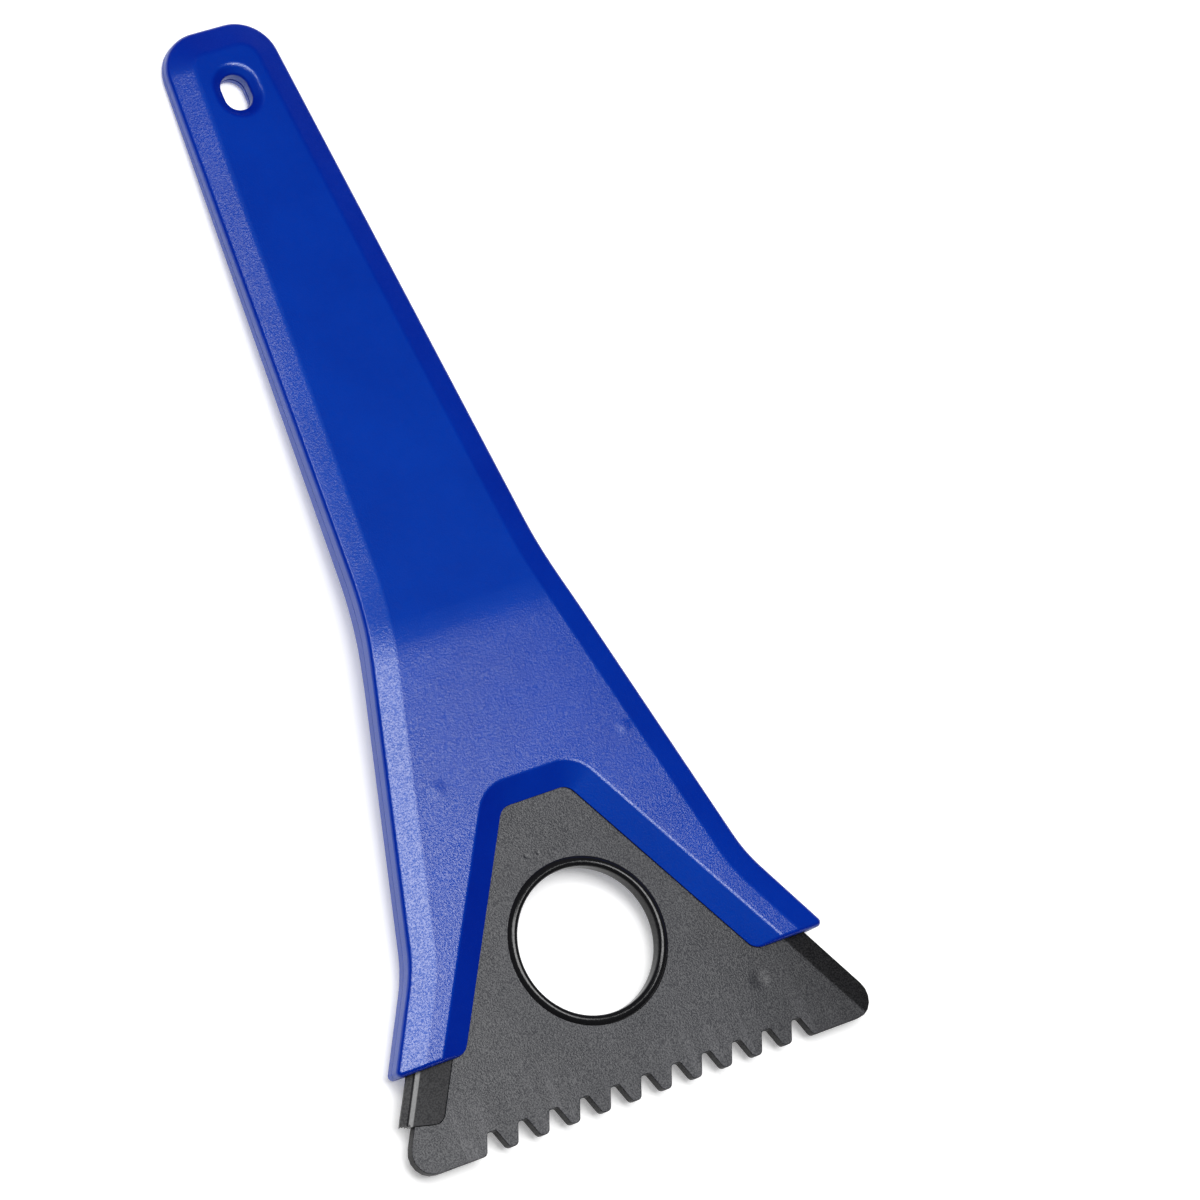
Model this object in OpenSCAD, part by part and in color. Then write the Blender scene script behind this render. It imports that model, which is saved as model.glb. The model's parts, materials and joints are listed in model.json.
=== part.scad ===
// Windshield ice scraper: a flat two-shell handle whose fork grips a triangular
// three-edge head (teeth, bevelled scraping edge and rubber squeegee).
// Millimetres, +Z up. It lies on its back: the two lower snap pegs and the end of
// the grip touch z = 0. +Y runs along the handle, away from the head.

/* [Head] */
// Side of the head's triangle between its sharp corners
head_side = 130.2; // [129:0.2:132]
// Thickness of the head plate
plate_t = 3.0; // [2.8:0.1:3.0]
// How much nearer to the centre the plate's rubber edge is than its other two edges
set_back = 2.6; // [2.4:0.1:2.8]
// Radius of the plate's rounded corners
plate_corner_r = 5.0; // [4:0.5:6]
// Distance between two teeth
tooth_pitch = 8.0; // [7.6:0.1:8.2]
// Number of gaps between the teeth
gap_count = 11; // [5:2:11]
// Width of a gap at the edge
gap_mouth = 5.9; // [5.2:0.1:6.2]
// Width of a gap at its bottom
gap_floor = 2.2; // [1.6:0.1:2.6]
// Depth of a gap
gap_depth = 4.8; // [3.5:0.1:5.5]
// Width of the bevels that thin the scraping edge
bevel_w = 5.2; // [4:0.2:7]
// Thickness left at the scraping edge
edge_t = 0.6; // [0.4:0.1:1.2]

/* [Finger hole] */
// Radius of the finger hole
hole_r = 17.1; // [16:0.1:17.6]
// Outer radius of the collar at its foot
collar_r = 19.5; // [19.2:0.1:20.4]
// Radius of the collar's crest
crest_r = 18.3; // [18.2:0.1:18.6]
// How far the collar stands proud of each face
collar_h = 0.8; // [0.6:0.1:1.2]

/* [Snap pegs] */
// Distance of each peg from the head's centre
peg_ring_r = 44.0; // [43:0.5:45]
// Diameter of a peg's neck
peg_neck_d = 4.2; // [3.6:0.1:4.4]
// Diameter of a peg's head
peg_head_d = 5.5; // [5.2:0.1:6]
// Height of a peg above the back of the plate
peg_h = 4.2; // [4.0:0.1:4.6]
// Width of the slot that splits a peg
peg_slit_w = 0.9; // [0.6:0.1:1.2]

/* [Rubber] */
// Length of plate edge left bare at each end of the rubber
rubber_margin = 15.5; // [15:0.5:18]
// How far the rubber reaches over the plate's faces
rubber_lap = 6.7; // [6:0.1:7.2]
// Depth of the rubber's seat in each face of the plate
rubber_seat = 0.7; // [0.5:0.1:0.8]
// How far the lip stands past the plate's edge
lip_w = 3.1; // [2:0.1:3.1]
// Radius of the corners of the rubber's inner edge
rubber_corner_r = 3.0; // [1:0.5:4]
// Thickness of the lip at its tip
lip_tip_t = 1.0; // [0.8:0.1:1.2]

/* [Handle] */
// Distance from the head's centre to the end of the grip
grip_end_y = 229.4; // [215:0.2:240]
// Distance from the head's centre to the tips of the fork, on the other side
fork_end_y = 14.8; // [13:0.2:15]
// Half width of the grip at its far end, before its corners are rounded
grip_end_w = 13.6; // [12:0.1:15]
// Radius of the grip's end corners
grip_corner_r = 10.0; // [6:0.5:12]
// Width of the sloped flank along the sides of the front shell
flank_w = 6.0; // [5:0.1:6.5]
// Width of the sloped flank round the fork's notch
notch_flank_w = 5.9; // [5:0.1:6.5]
// Height of the fork's front face above the middle of the head
front_h = 4.5; // [4.3:0.1:5]
// Thickness of the rear cover behind the head
cover_t = 1.4; // [1.2:0.05:2.0]
// Gap left all round the head in its pocket
pocket_gap = 0.35; // [0.3:0.05:0.4]

/* [Hang slot] */
// Width of the hang slot
slot_w = 6.8; // [5:0.2:7]
// Length of the hang slot
slot_l = 9.0; // [8:0.2:10]
// Distance from the slot's centre to the end of the grip
slot_inset = 16.6; // [15:0.2:18]
// How far the dish round the slot spreads
dish_w = 2.3; // [1.5:0.1:2.6]
// Depth of the dish round the slot
dish_depth = 1.3; // [0.8:0.1:1.6]

/* [Hidden] */
$fn = 96;
tiny = 0.01;
big = 400;

// Head, worked out from its side: the finger hole's centre is the origin.
edge_d = head_side * sqrt(3) / 6;
rubber_d = edge_d - set_back;
rubber_len = head_side - 2 * rubber_margin;
rubber_off = 0.6;
rubber_skew = 2.0;
half_t = plate_t / 2;
tongue_t = plate_t - 2 * rubber_seat;
peg_nose_in = 0.6;
peg_nose_h = 0.7;

// Where each peg stands round the centre, and how far its slit turns from pointing at the centre.
PEGS = [[90, 30], [210, -30], [330, 0]];

// Heights of the handle's surfaces at the fork, from the middle of the head.
pocket_z = half_t + pocket_gap;
joint_z = -0.1;
cover_z = -pocket_z - cover_t;
flank_drop = 1.0;
flank_r = 1.2;
cover_cut = 0.6;

// The grip leans back: where each surface bends, how softly, and its fall per millimetre.
front_bend = [78.5, 5, 0.126];
flank_bend = [78.4, 6, 0.1331];
joint_bend = [78.4, 6, 0.124];
cover_bend = [72.5, 6, 0.1104];

// Side outline: the slope of each stretch and where it changes.
grip_slope = 0.0707;
fork_slope = 0.2557;
tip_slope = 0.57;
waist_y = 86.4;
waist_soft = 9.5;
flare_y = 7;
flare_soft = 4.4;

// Fork notch, seen from the front.
notch_y = 34.7;
notch_top_w = 8.6;
notch_slope = 0.595;
notch_corner_r = 3.7;
tip_corner_r = 4;
tip_outer_r = 1.2;

// The pocket keeps this far outside the edges of the head, which leaves room for the rubber's lip.
pocket_d = edge_d + 0.95;

// Hollow bays of the grip with ribs between them, and the pins that join the shells.
// Every second rib carries a boss for a pin.
roof_t = 1.9;
bay_start = 84;
bay_step = 20;
bay_count = floor((grip_end_y - 24 - bay_start) / bay_step);
rib_t = 1.6;
pin_d = 3.0;
pin_l = 2.0;
boss_d = 7;
GRIP_PINS = [for (i = [1:2:bay_count]) [0, bay_start + i * bay_step - rib_t / 2]];
FORK_PINS = [for (s = [-1, 1]) each [[s * 24, 50], [s * 35.2, 24]]];
PINS = concat(GRIP_PINS, FORK_PINS);

// Zero before a bend, straight after it, and a smooth curve between.
function soft(u, t) = u < -t ? 0 : u > t ? u : (u + t) * (u + t) / (4 * t);
function side_w(y) = grip_end_w + grip_slope * (grip_end_y - y)
    + (fork_slope - grip_slope) * soft(waist_y - y, waist_soft)
    + (tip_slope - fork_slope) * soft(flare_y - y, flare_soft);
function side_lean(y) = (side_w(y - 0.5) - side_w(y + 0.5));
function top_w(y) = side_w(y) - flank_w * sqrt(1 + pow(side_lean(y), 2));
function fall(y, bend) = bend[2] * soft(y - bend[0], bend[1]);
function front_z(y) = front_h - fall(y, front_bend);
function flank_z(y) = front_h - flank_drop - fall(y, flank_bend);
function seam_z(y) = joint_z - fall(y, joint_bend);
function back_z(y) = cover_z - fall(y, cover_bend);

// Where two straight edges meet: a and b are the directions they face, da and db their distances.
function meet(a, da, b, db) = [da * sin(b) - db * sin(a), db * cos(a) - da * cos(b)] / sin(b - a);
right_corner = meet(270, edge_d, 30, edge_d);
top_corner = meet(30, edge_d, 150, rubber_d);
left_corner = meet(150, rubber_d, 270, edge_d);

// The whole scraper leans so that the two lower pegs and the end of the grip lie on
// the ground, and the origin is under the middle of its length and width.
peg_foot = [-peg_ring_r / 2 - peg_head_d / 2 + peg_nose_in, -half_t - peg_h];
grip_foot = [grip_end_y, back_z(grip_end_y)];
rest_lean = atan2(peg_foot[1] - grip_foot[1], grip_foot[0] - peg_foot[0]);
rest_lift = -peg_foot[0] * sin(rest_lean) - peg_foot[1] * cos(rest_lean);
far_y = grip_foot[0] * cos(rest_lean) - grip_foot[1] * sin(rest_lean);
near_y = -edge_d * cos(rest_lean) - half_t * sin(rest_lean);
rest_shift = -(far_y + near_y) / 2;
rest_side = -(right_corner[0] + left_corner[0]) / 2;

// Round corner b between a and c: points of its arc.
function unit(v) = v / norm(v);
function fillet(a, b, c, r, n = 10) =
    r == 0 ? [b] :
    let (u = unit(a - b), w = unit(c - b), half = acos(u * w) / 2,
         m = b + unit(u + w) * r / sin(half), p = b + u * r / tan(half), q = b + w * r / tan(half),
         a0 = atan2(p[1] - m[1], p[0] - m[0]), a1 = atan2(q[1] - m[1], q[0] - m[0]),
         sweep = (a1 - a0 + 540) % 360 - 180)
    [for (i = [0:n]) m + r * [cos(a0 + sweep * i / n), sin(a0 + sweep * i / n)]];
function rounded(P) = [for (i = [0:len(P) - 1])
    let (k = len(P), a = P[(i + k - 1) % k], b = P[i], c = P[(i + 1) % k])
    each fillet([a[0], a[1]], [b[0], b[1]], [c[0], c[1]], b[2])];
function both_sides(P) = concat(P, [for (i = [len(P) - 1:-1:0]) [P[i][0], -P[i][1]]]);
function mirrored(P) = [for (i = [len(P) - 1:-1:0]) [-P[i][0], P[i][1], P[i][2]]];

// Stations along the handle, close together only where it curves.
STATIONS = concat([-fork_end_y - 2], [for (y = [2.5:1.5:11.5]) y], [40],
    [for (y = [66:2.5:96]) y], [110, 140, 170, 200, grip_end_y + 2]);

module at_rest() {
    translate([rest_side, rest_shift, rest_lift]) rotate([rest_lean, 0, 0]) children();
}

// The three edges: +30 degrees is the bevelled one, 150 the rubber one, -90 the toothed one.
module at_edge(angle) {
    rotate(angle) translate([angle == 150 ? rubber_d : edge_d, 0, 0]) children();
}

function side_points() = concat(
    [[side_w(-fork_end_y), -fork_end_y, tip_outer_r]],
    [for (y = STATIONS) if (y > -fork_end_y + 3 && y < grip_end_y - 10) [side_w(y), y, 0]],
    [[grip_end_w, grip_end_y, grip_corner_r]]);
function notch_w(y) = notch_top_w + notch_slope * (notch_y - y);
function notch_points() = [
    [notch_top_w, notch_y, notch_corner_r],
    [notch_w(-fork_end_y), -fork_end_y, tip_corner_r]];

module handle_outline() {
    right = side_points();
    inner = notch_points();
    polygon(rounded(concat(right, mirrored(right), mirrored(inner), inner)));
}

module handle_slab() {
    translate([0, 0, -big / 2]) linear_extrude(big) handle_outline();
}

// One skin through the rings of points, one anticlockwise ring for each station.
module loft(rings) {
    k = len(rings[0]);
    n = len(rings);
    polyhedron(
        points = [for (r = rings) each r],
        faces = concat(
            [[for (j = [0:k - 1]) j]],
            [for (i = [0:n - 2]) for (j = [0:k - 1])
                each [[i * k + j, (i + 1) * k + (j + 1) % k, i * k + (j + 1) % k],
                      [i * k + j, (i + 1) * k + j, (i + 1) * k + (j + 1) % k]]],
            [[for (j = [k - 1:-1:0]) (n - 1) * k + j]]));
}

// Half of a ring of the front shell: down the flank, round its corner and down the wall.
function front_half(y) = let (w = side_w(y), top = top_w(y), low = flank_z(y), high = front_z(y),
    slope = atan2(high - low, w - top), mid = low + flank_r * (tan(slope) - 1 / cos(slope)))
    concat([[top, high]],
        [for (a = [90 - slope, 54, 27, 0]) [w - flank_r + flank_r * cos(a), mid + flank_r * sin(a)]],
        [[w, seam_z(y)]]);
function cover_half(y) = let (w = side_w(y), low = back_z(y))
    [[w, seam_z(y)], [w, low + cover_cut], [w - cover_cut, low]];
function ring(y, half) = concat(
    [for (i = [len(half) - 1:-1:0]) [-half[i][0], y, half[i][1]]],
    [for (p = half) [p[0], y, p[1]]]);
function front_ring(y) = ring(y, front_half(y));
function cover_ring(y) = ring(y, cover_half(y));

// One bay of the grip's hollow, from y to the next rib, open towards the rear cover.
module grip_bay(y) {
    far = y + bay_step - rib_t;
    w = 2 * top_w(far) - 1;
    deep = 15;
    difference() {
        translate([0, y, front_z(y) - roof_t]) rotate([-atan(front_bend[2]), 0, 0])
            translate([-w / 2, 0, -deep]) cube([w, far - y, deep]);
        for (p = GRIP_PINS) if (abs(p[1] - y) < 1.5 * bay_step)
            translate([0, p[1], -50]) cylinder(d = boss_d, h = 100);
    }
}

// Sloped cut at the end of the grip, as wide as the side flanks.
module end_flank() {
    drop = front_z(grip_end_y) - flank_z(grip_end_y);
    translate([0, grip_end_y, flank_z(grip_end_y)])
        rotate([-atan2(drop, flank_w), 0, 0]) translate([-50, -20, 0]) cube([100, 60, 20]);
}

// Sloped sides of the notch: narrow at the plate, wide at the front face.
module notch_outline(grow) {
    reach = grow * sqrt(1 + notch_slope * notch_slope);
    low = -fork_end_y - 10;
    top = [notch_top_w + reach - notch_slope * grow, notch_y + grow, notch_corner_r + grow];
    foot = [notch_w(low) + reach, low, 0];
    polygon(rounded([foot, top, [-top[0], top[1], top[2]], [-foot[0], foot[1], 0]]));
}

module notch_flank() {
    edge_z = pocket_z + 0.15;
    over = 1;
    hull() {
        translate([0, 0, edge_z]) linear_extrude(tiny) notch_outline(0);
        translate([0, 0, front_h + over])
            linear_extrude(tiny) notch_outline(notch_flank_w * (1 + over / (front_h - edge_z)));
    }
}

// The pocket that holds the head between the two shells, open towards the tips of the fork.
module head_pocket() {
    low = -fork_end_y - 10;
    foot = (pocket_d - low / 2) * 2 / sqrt(3);
    translate([0, 0, -pocket_z]) linear_extrude(2 * pocket_z)
        polygon(rounded([[foot, low, 0], [0, 2 * pocket_d, plate_corner_r], [-foot, low, 0]]));
}

module slot_2d(grow) {
    run = (slot_l - slot_w) / 2;
    for (s = [-1, 1]) translate([0, s * run]) circle(slot_w / 2 + grow);
    square([slot_w + 2 * grow, 2 * run], center = true);
}

module at_hang_slot() {
    y = grip_end_y - slot_inset;
    translate([0, y, front_z(y)]) rotate([-atan(front_bend[2]), 0, 0]) children();
}

module hang_slot() {
    at_hang_slot() translate([0, 0, -20]) linear_extrude(40) slot_2d(0);
}

module hang_dish() {
    over = 0.5;
    at_hang_slot() hull() {
        translate([0, 0, -dish_depth]) linear_extrude(tiny) slot_2d(0.2);
        translate([0, 0, over]) linear_extrude(tiny) slot_2d(dish_w * (1 + over / dish_depth));
    }
}

module front_shell() {
    color("mediumblue") at_rest() difference() {
        intersection() {
            loft([for (y = STATIONS) front_ring(y)]);
            handle_slab();
        }
        end_flank();
        notch_flank();
        head_pocket();
        hang_slot();
        hang_dish();
        for (i = [0:bay_count - 1]) grip_bay(bay_start + i * bay_step);
        for (p = PINS) translate([p[0], p[1], seam_z(p[1]) - 1]) cylinder(d = pin_d, h = pin_l + 1.3);
    }
}

module rear_cover() {
    color("mediumblue") at_rest() {
        difference() {
            intersection() {
                loft([for (y = STATIONS) cover_ring(y)]);
                handle_slab();
            }
            head_pocket();
            hang_slot();
            peg_channel();
        }
        for (p = PINS) translate([p[0], p[1], seam_z(p[1]) - 0.4]) cylinder(d = pin_d, h = pin_l + 0.4);
    }
}

// Round-ended channel in the rear cover: the uppermost peg runs in it.
module peg_channel() {
    w = peg_neck_d + 0.6;
    translate([0, peg_ring_r, cover_z - 5]) cylinder(d = w, h = 10);
    translate([-w / 2, 0, cover_z - 5]) cube([w, peg_ring_r, 10]);
}

module plate_outline() {
    teeth_x = (right_corner[0] + left_corner[0]) / 2;
    difference() {
        polygon(rounded([for (p = [right_corner, top_corner, left_corner]) [p[0], p[1], plate_corner_r]]));
        for (i = [0:gap_count - 1])
            translate([teeth_x + (i - (gap_count - 1) / 2) * tooth_pitch, -edge_d]) tooth_gap();
        circle(hole_r + 1);
    }
}

module tooth_gap() {
    side = (gap_mouth - gap_floor) / 2 / gap_depth;
    land_r = 0.7;
    out = 1;
    polygon(rounded([[-gap_mouth / 2 - side * out, -out, 0], [gap_mouth / 2 + side * out, -out, 0],
                     [gap_floor / 2, gap_depth, land_r], [-gap_floor / 2, gap_depth, land_r]]));
}

// Wedge that thins one face towards the scraping edge.
module edge_wedge() {
    rise = half_t - edge_t / 2;
    rotate([90, 0, 0]) translate([0, 0, -head_side / 2 - 10]) linear_extrude(head_side + 20)
        polygon([[-bevel_w, half_t], [0.0, edge_t / 2], [5, edge_t / 2 - 5 * rise / bevel_w],
                 [5, half_t + 5], [-bevel_w, half_t + 5]]);
}

module collar() {
    top = half_t + collar_h;
    round_r = 0.55;
    upper = [[collar_r, half_t], [crest_r + round_r, top - round_r], [crest_r, top],
             [hole_r + round_r, top], [hole_r, top - round_r]];
    rotate_extrude() polygon(both_sides(upper));
}

module peg(slit_angle) {
    head_h = 1.5;
    foot = -half_t - peg_h;
    difference() {
        union() {
            translate([0, 0, foot + head_h]) cylinder(d = peg_neck_d, h = peg_h - head_h + 0.5);
            translate([0, 0, foot + peg_nose_h]) cylinder(d = peg_head_d, h = head_h - peg_nose_h);
            translate([0, 0, foot])
                cylinder(d1 = peg_head_d - 2 * peg_nose_in, d2 = peg_head_d, h = peg_nose_h);
        }
        rotate(slit_angle) translate([-peg_head_d, -peg_slit_w / 2, foot - 1])
            cube([2 * peg_head_d, peg_slit_w, peg_h + 0.8]);
    }
}

module head_plate() {
    color([0.16, 0.17, 0.18]) at_rest() {
        difference() {
            translate([0, 0, -half_t]) linear_extrude(plate_t) plate_outline();
            at_edge(30) {
                edge_wedge();
                mirror([0, 0, 1]) edge_wedge();
            }
            at_edge(150) for (s = [0, 1]) mirror([0, 0, s])
                translate([0, 0, tongue_t / 2]) linear_extrude(5) rubber_outline();
        }
        collar();
        for (p = PEGS) rotate(p[0]) translate([peg_ring_r, 0, 0]) peg(p[1]);
    }
}

// Rubber seen from the front, x outwards from the plate's edge. Its inner corners are
// rounded, and the end next to the teeth is cut askew.
module rubber_outline() {
    out = lip_w + 1;
    translate([0, rubber_off]) polygon(rounded([
        [-rubber_lap, -rubber_len / 2, rubber_corner_r], [out, -rubber_len / 2, 0],
        [out, rubber_len / 2, 0], [-rubber_lap, rubber_len / 2 - rubber_skew, rubber_corner_r]]));
}

// Rubber cross-section, x outwards from the plate's edge, y through the thickness.
module rubber_section() {
    shoulder = 0.9;
    waist = 1.5;
    waist_t = 0.8;
    upper = [[lip_w, lip_tip_t / 2], [waist, waist_t], [shoulder, half_t], [-rubber_lap, half_t],
             [-rubber_lap, tongue_t / 2], [0, tongue_t / 2]];
    polygon(both_sides(upper));
}

module rubber_blade() {
    color([0.08, 0.08, 0.08]) at_rest() at_edge(150) intersection() {
        rotate([90, 0, 0]) translate([0, 0, -head_side / 2]) linear_extrude(head_side) rubber_section();
        translate([0, 0, -plate_t]) linear_extrude(2 * plate_t) rubber_outline();
    }
}

front_shell();
rear_cover();
head_plate();
rubber_blade();
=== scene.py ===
"""Windshield ice scraper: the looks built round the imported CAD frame.

Shapes are worked out in the part's own millimetres (origin in the middle of the finger
hole, y towards the grip, z out of the front face) and placed at the end by place().
"""
import json
import math

import bmesh
import bpy
from mathutils import Matrix, Vector


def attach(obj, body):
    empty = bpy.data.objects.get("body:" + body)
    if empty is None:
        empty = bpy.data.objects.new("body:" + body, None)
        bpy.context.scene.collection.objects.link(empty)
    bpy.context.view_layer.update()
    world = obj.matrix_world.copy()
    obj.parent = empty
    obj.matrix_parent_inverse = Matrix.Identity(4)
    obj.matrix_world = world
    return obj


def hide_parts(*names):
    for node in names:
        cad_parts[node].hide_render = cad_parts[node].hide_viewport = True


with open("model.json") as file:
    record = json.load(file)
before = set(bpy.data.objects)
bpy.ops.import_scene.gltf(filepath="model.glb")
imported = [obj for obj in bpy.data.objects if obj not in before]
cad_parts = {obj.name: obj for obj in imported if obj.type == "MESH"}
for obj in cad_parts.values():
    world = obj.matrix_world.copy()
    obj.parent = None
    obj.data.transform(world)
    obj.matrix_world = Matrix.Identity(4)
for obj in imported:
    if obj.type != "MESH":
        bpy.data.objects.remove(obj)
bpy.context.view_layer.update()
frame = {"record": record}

# -------------------- placing
HOLE = next(m for m in frame["record"]["mounts"] if m["name"] == "finger_hole")
LEAN = math.atan2(-HOLE["axis"][1], HOLE["axis"][2])
ORIGIN = Vector(HOLE["pos_m"])
TURN = Matrix.Rotation(LEAN, 3, "X")
MM = 0.001


def place(x, y, z):
    """A point of the part's own frame, in millimetres, where it lies on the floor, in metres."""
    return ORIGIN + TURN @ Vector((x * MM, y * MM, z * MM))


# -------------------- dimensions, mm
# head: half its thickness, and its edges' distances from the middle of the hole
HALF_T = 1.5
EDGE_D = 130.2 * math.sqrt(3) / 6
RUBBER_D = EDGE_D - 2.6
CORNER_R = 5.0
# gaps between the teeth
PITCH, GAPS = 8.0, 11
GAP_MOUTH, GAP_FLOOR, GAP_DEPTH = 5.9, 2.2, 4.8
TOOTH_R, GAP_R = 1.2, 0.7
# scraping edge: the bevel's width, the edge's half thickness, half the width of the soft crease
BEVEL_W, EDGE_HALF, BEVEL_SOFT = 5.2, 0.3, 0.35
PLATE_RIM, THIN_RIM = 0.22, 0.16
# finger hole and snap pegs
HOLE_R, COLLAR_R, PLATE_HOLE_R = 17.1, 19.5, 18.3
PEG_RING, PEG_H = 44.0, 4.2
# rubber blade, and the half thickness of the plate's tongue inside it
RUBBER_LEN, RUBBER_OFF, RUBBER_SKEW, RUBBER_LAP, RUBBER_R = 99.2, 0.6, 2.0, 6.7, 3.0
LIP_W, TONGUE = 3.1, 0.8

# handle: its outline
FORK_END, GRIP_END, GRIP_END_W, GRIP_R = -14.8, 229.4, 13.6, 10.0
GRIP_SLOPE, FORK_SLOPE, TIP_SLOPE = 0.0707, 0.2557, 0.57
WAIST_Y, WAIST_SOFT, FLARE_Y, FLARE_SOFT = 86.4, 9.5, 7.0, 4.4
NOTCH_Y, NOTCH_TOP, NOTCH_SLOPE, NOTCH_R = 34.7, 8.6, 0.595, 3.7
TIP_R_IN, TIP_R_OUT = 4.0, 1.2
CHANNEL_W, CHANNEL_R = 2.4, 0.5
# handle: widths and heights of its faces
FLANK_W, NOTCH_W = 6.0, 5.9
FRONT_H, FLANK_DROP = 4.5, 1.0
SEAM_Z, POCKET_Z, COVER_Z = -0.1, 1.85, -3.25
FLANK_CREASE_R, NOTCH_CREASE_R = 5.0, 2.2
NOTCH_RIM, COVER_RIM, COVER_NOTCH_RIM = 0.12, 0.7, 0.35
# handle: where each face bends down towards the grip: middle, half length, slope behind it
FRONT_BEND = (78.5, 5.0, 0.126)
FLANK_BEND = (78.4, 6.0, 0.1331)
SEAM_BEND = (78.4, 6.0, 0.124)
COVER_BEND = (72.5, 6.0, 0.1104)
# pocket for the head, and the hang slot
POCKET_D = EDGE_D + 0.95
SLOT_Y, SLOT_W, SLOT_L = GRIP_END - 16.6, 6.8, 9.0
# groove along the parting line: steps in from the wall, with their height over the line
GROOVE = ((0.0, 0.14), (0.05, 0.04), (0.16, 0.0))
SLOT_GROOVE = 0.24


def soft(u, t):
    """A ramp that starts at 0, rounded from -t to t."""
    return 0.0 if u < -t else u if u > t else (u + t) ** 2 / (4 * t)


def fall(y, bend):
    """How far a face has dropped at y."""
    return bend[2] * soft(y - bend[0], bend[1])


def side_w(y):
    """Half the handle's width at y."""
    return (GRIP_END_W + GRIP_SLOPE * (GRIP_END - y)
            + (FORK_SLOPE - GRIP_SLOPE) * soft(WAIST_Y - y, WAIST_SOFT)
            + (TIP_SLOPE - FORK_SLOPE) * soft(FLARE_Y - y, FLARE_SOFT))


def front_z(y):
    return FRONT_H - fall(y, FRONT_BEND)


def flank_z(y):
    return FRONT_H - FLANK_DROP - fall(y, FLANK_BEND)


def seam_z(y):
    return SEAM_Z - fall(y, SEAM_BEND)


def back_z(y):
    return COVER_Z - fall(y, COVER_BEND)


# -------------------- 2-D tools
def fillet(a, b, c, r, n):
    """Corner b between a and c rounded: n + 1 points with the arc's centre."""
    a, b, c = Vector(a), Vector(b), Vector(c)
    u, w = (a - b).normalized(), (c - b).normalized()
    half = math.acos(max(-1.0, min(1.0, u.dot(w)))) / 2
    m = b + (u + w).normalized() * (r / math.sin(half))
    p, q = b + u * (r / math.tan(half)), b + w * (r / math.tan(half))
    a0 = math.atan2(p.y - m.y, p.x - m.x)
    sweep = math.atan2(q.y - m.y, q.x - m.x) - a0
    sweep = (sweep + 3 * math.pi) % (2 * math.pi) - math.pi
    turns = [a0 + sweep * i / n for i in range(n + 1)]
    return [Vector((m.x + r * math.cos(t), m.y + r * math.sin(t))) for t in turns], m


def round_path(corners, closed=True, n=8):
    """Points and outward normals of an anticlockwise outline of (x, y, radius)."""
    out = []
    k = len(corners)
    for i in range(k):
        x, y, r = corners[i]
        b = Vector((x, y))
        a = Vector(corners[(i - 1) % k][:2])
        c = Vector(corners[(i + 1) % k][:2])
        if not closed and i in (0, k - 1):
            d = (c - b) if i == 0 else (b - a)
            d.normalize()
            out.append((b, Vector((d.y, -d.x))))
            continue
        e, f = (b - a).normalized(), (c - b).normalized()
        convex = e.x * f.y - e.y * f.x > 0
        if r <= 0:
            both = Vector((e.y, -e.x)) + Vector((f.y, -f.x))
            out.append((b, both / (1 + e.dot(f))))
            continue
        arc, m = fillet(a, b, c, r, n)
        for p in arc:
            out.append((p, (p - m) / r if convex else (m - p) / r))
    return out


def densify(path, step):
    """Extra points on the straight runs of an outline, so that no run is longer than step."""
    out = []
    for i, (p, nrm) in enumerate(path):
        out.append((p, nrm))
        if i + 1 < len(path):
            q, nq = path[i + 1]
            if (nrm - nq).length < 1e-4:
                k = int((q - p).length / step)
                for j in range(1, k + 1):
                    out.append((p.lerp(q, j / (k + 1)), nrm))
    return out


def put_crossings(path, value, levels):
    """Adds a point to a closed outline wherever value(p) passes one of the levels."""
    for level in levels:
        out = []
        k = len(path)
        for i in range(k):
            p, nrm = path[i]
            out.append((p, nrm))
            q, nq = path[(i + 1) % k]
            a, b = value(p) - level, value(q) - level
            if abs(a) > 1e-6 and abs(b) > 1e-6 and a * b < 0:
                t = a / (a - b)
                out.append((p.lerp(q, t), nrm.lerp(nq, t).normalized()))
        path = out
    return path


# -------------------- mesh tools
WELD = 2e-6


def add_object(name, data):
    obj = bpy.data.objects.new(name, data)
    bpy.context.scene.collection.objects.link(obj)
    return obj


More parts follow.
